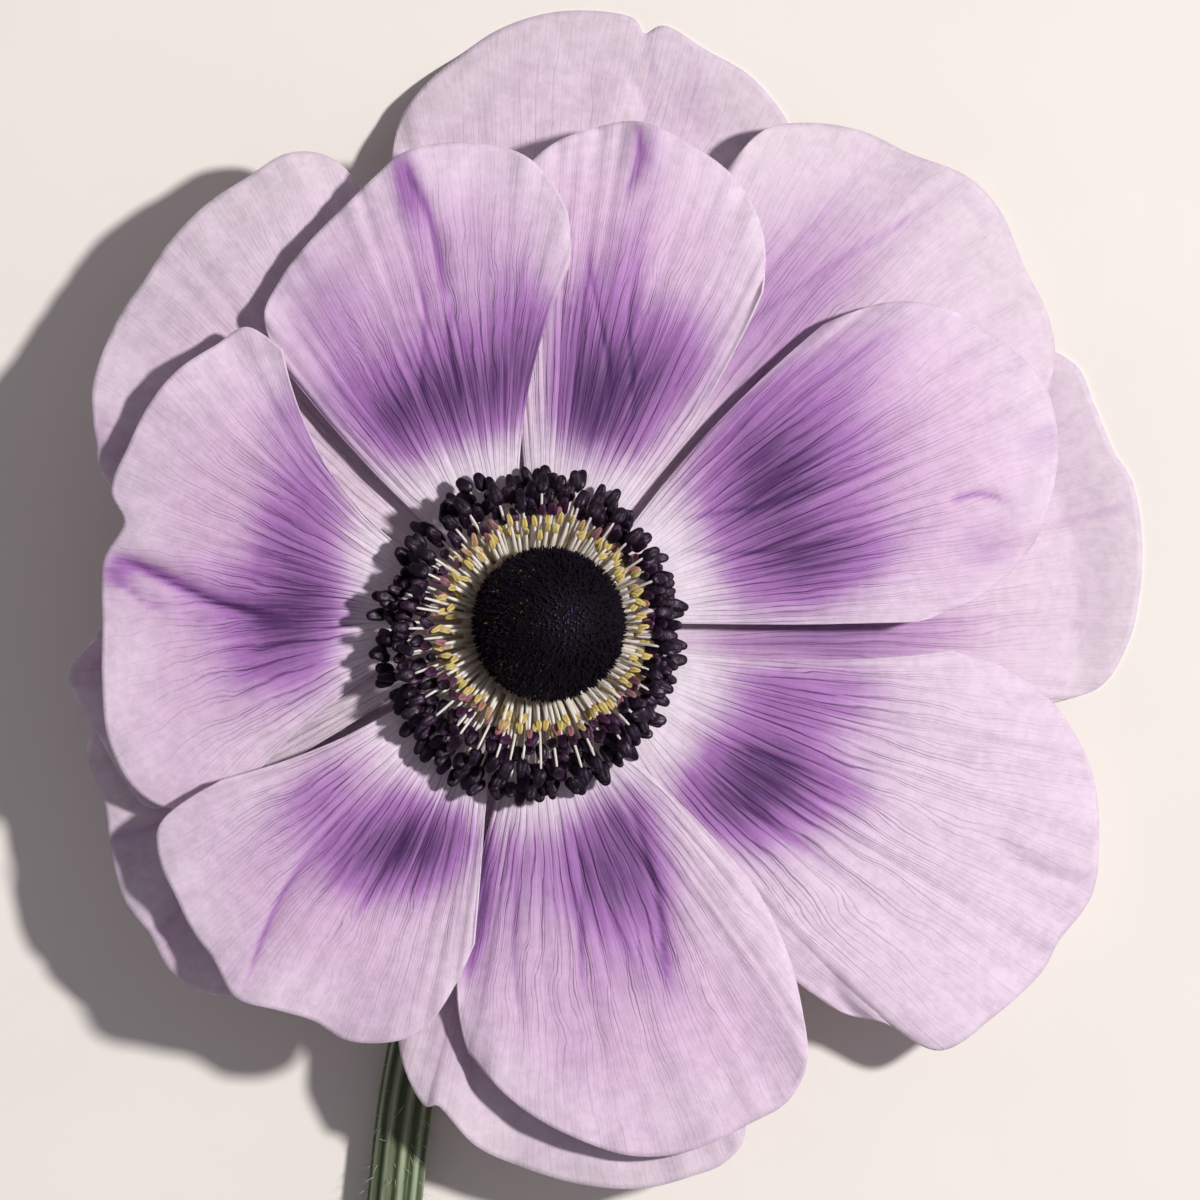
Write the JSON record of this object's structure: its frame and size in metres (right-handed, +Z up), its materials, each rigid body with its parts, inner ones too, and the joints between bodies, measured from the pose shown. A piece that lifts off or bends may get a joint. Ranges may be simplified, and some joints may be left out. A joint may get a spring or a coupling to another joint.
{
  "type": "anemone flower",
  "caption": "Cut lilac anemone lying face up: two whorls of petals round a dark domed centre with a ring of black anthers, on a ribbed green stem with cut bracts.",
  "frame": {"origin": "middle of the footprint, on the surface the flower lies on", "axes": "+Z up, out of the flower's face; -Y the way the stem runs from the head; +X to the right seen from above with the stem pointing down"},
  "size_m": [0.086, 0.192, 0.0231],
  "materials": {
    "petal_lilac": "satin petal, streaked with darker veins",
    "petal_pale": "satin petal, pale",
    "stem_green": "dull green stem, finely ribbed",
    "bract_green": "dull green leaf",
    "dome_violet": "velvety near-black violet",
    "filament_cream": "cream filaments with yellow anthers",
    "anther_black": "glossy black-violet anthers"
  },
  "bodies": {
    "root": {"stem": "stem_green", "bract_left": "bract_green", "bract_right": "bract_green", "bract_top": "bract_green", "petal_outer_right": "petal_pale", "petal_outer_top_right": "petal_pale", "petal_outer_top": "petal_pale", "petal_outer_top_left": "petal_pale", "petal_outer_left": "petal_pale", "petal_outer_lower_left": "petal_pale", "petal_outer_bottom": "petal_pale", "petal_inner_right": "petal_lilac", "petal_inner_top": "petal_lilac", "petal_inner_top_left": "petal_lilac", "petal_inner_left": "petal_lilac", "petal_inner_lower_left": "petal_lilac", "petal_inner_bottom": "petal_lilac", "petal_inner_lower_right": "petal_lilac", "pistil_dome": "dome_violet", "stamens_inner": "filament_cream", "stamens_outer": "anther_black"}
  },
  "joints": []
}
